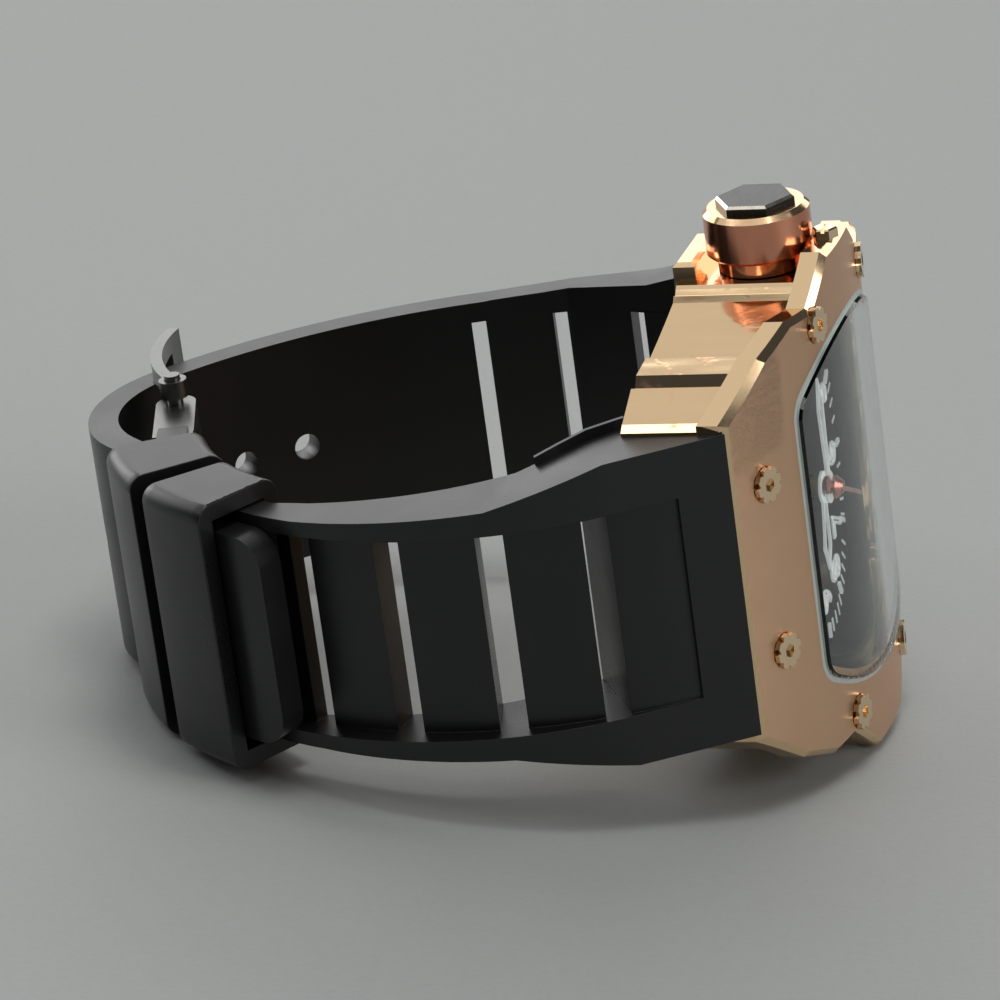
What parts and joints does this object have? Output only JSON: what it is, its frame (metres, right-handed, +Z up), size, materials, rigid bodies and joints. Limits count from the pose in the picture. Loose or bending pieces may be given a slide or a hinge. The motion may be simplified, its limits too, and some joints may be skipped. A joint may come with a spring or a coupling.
{
  "type": "tonneau wristwatch",
  "caption": "Barrel-shaped wristwatch with a screwed bezel, curved crystal, guarded crown and a slotted rubber strap closed into a ring by a pin buckle.",
  "frame": {"origin": "middle of the flat of the 9 o'clock guard, on which the case lies", "axes": "+X out of the dial, +Y towards 6 o'clock, +Z up through the crown"},
  "size_m": [0.0782, 0.0665, 0.056],
  "materials": {
    "satin_rose_gold": "satin",
    "polished_rose_gold": "mirror polished",
    "crystal_glass": "clear, greenish at the edge",
    "seal_rubber": "matte",
    "dial_black": "matte black",
    "flange_black": "satin black",
    "index_silver": "polished",
    "hand_silver": "polished",
    "hub_rose_gold": "polished",
    "movement_brass": "machined",
    "movement_steel": "machined",
    "holder_plastic": "moulded",
    "cell_steel": "plated",
    "screw_rose_gold": "polished",
    "screw_steel": "polished",
    "crown_copper": "glossy",
    "cap_dark_steel": "dark polished",
    "strap_rubber": "matte black",
    "keeper_rubber": "matte black",
    "buckle_steel": "polished"
  },
  "bodies": {
    "case": {"bezel": "satin_rose_gold", "case_middle": "polished_rose_gold", "case_back": "polished_rose_gold", "crystal": "crystal_glass", "front_gasket": "seal_rubber", "back_gasket": "seal_rubber", "dial": "dial_black", "chapter_ring": "flange_black", "applied_indices": "index_silver", "movement_ring": "holder_plastic", "movement_plate": "movement_brass", "movement_cover": "movement_steel", "battery_cell": "cell_steel", "bezel_screws": "screw_rose_gold", "case_back_screws": "screw_steel", "guard_screw": "screw_rose_gold", "crown_tube": "movement_steel", "strap_short": "strap_rubber", "strap_long": "strap_rubber", "strap_pin_short": "movement_steel", "strap_pin_long": "movement_steel", "keeper_fixed": "keeper_rubber", "buckle_bar": "buckle_steel", "buckle_end_piece": "buckle_steel"},
    "crown_slide": {"setting_lever": "movement_steel"},
    "crown_turning": {"crown": "crown_copper", "crown_cap": "cap_dark_steel", "crown_stem": "movement_steel", "crown_gasket": "seal_rubber"},
    "hour_train": {"hour_hand": "hand_silver", "hour_wheel": "movement_brass"},
    "minute_train": {"minute_hand": "hand_silver", "cannon_pinion": "movement_steel"},
    "second_train": {"second_hand": "hub_rose_gold", "seconds_pinion": "movement_steel"},
    "free_keeper": {"keeper_free": "keeper_rubber"},
    "frame": {"buckle_frame": "buckle_steel"},
    "tongue": {"buckle_tongue": "buckle_steel"}
  },
  "joints": [
    {"name": "crown_pull", "type": "slide", "parent": "case", "child": "crown_slide", "axis": [0, 0, 1], "range_m": [0, 0.0012]},
    {"name": "crown_turn", "type": "hinge", "parent": "crown_slide", "child": "crown_turning", "pos_m": [-0.0062, 0, 0.0522], "axis": [0, 0, 1], "continuous": true},
    {"name": "minute_turn", "type": "hinge", "parent": "case", "child": "minute_train", "pos_m": [-0.0062, 0, 0.0258], "axis": [-1, 0, 0], "continuous": true},
    {"name": "hour_turn", "type": "hinge", "parent": "case", "child": "hour_train", "pos_m": [-0.0062, 0, 0.0258], "axis": [-1, 0, 0], "continuous": true},
    {"name": "second_turn", "type": "hinge", "parent": "case", "child": "second_train", "pos_m": [-0.0062, 0, 0.0258], "axis": [-1, 0, 0], "continuous": true},
    {"name": "keeper_slide", "type": "hinge", "parent": "case", "child": "free_keeper", "pos_m": [-0.0336, -0.0041, 0.0258], "axis": [0, 0, 1], "range_deg": [-3.8, 2]},
    {"name": "frame_pivot", "type": "hinge", "parent": "case", "child": "frame", "pos_m": [-0.06729, -0.0031, 0.0258], "axis": [0, 0, 1], "range_deg": [-8, 0]},
    {"name": "tongue_pivot", "type": "hinge", "parent": "case", "child": "tongue", "pos_m": [-0.06729, -0.0031, 0.0258], "axis": [0, 0, 1], "range_deg": [0, 3]}
  ],
  "couplings": [
    {"joint": "hour_turn", "follows": "minute_turn", "ratio": 0.083333}
  ]
}
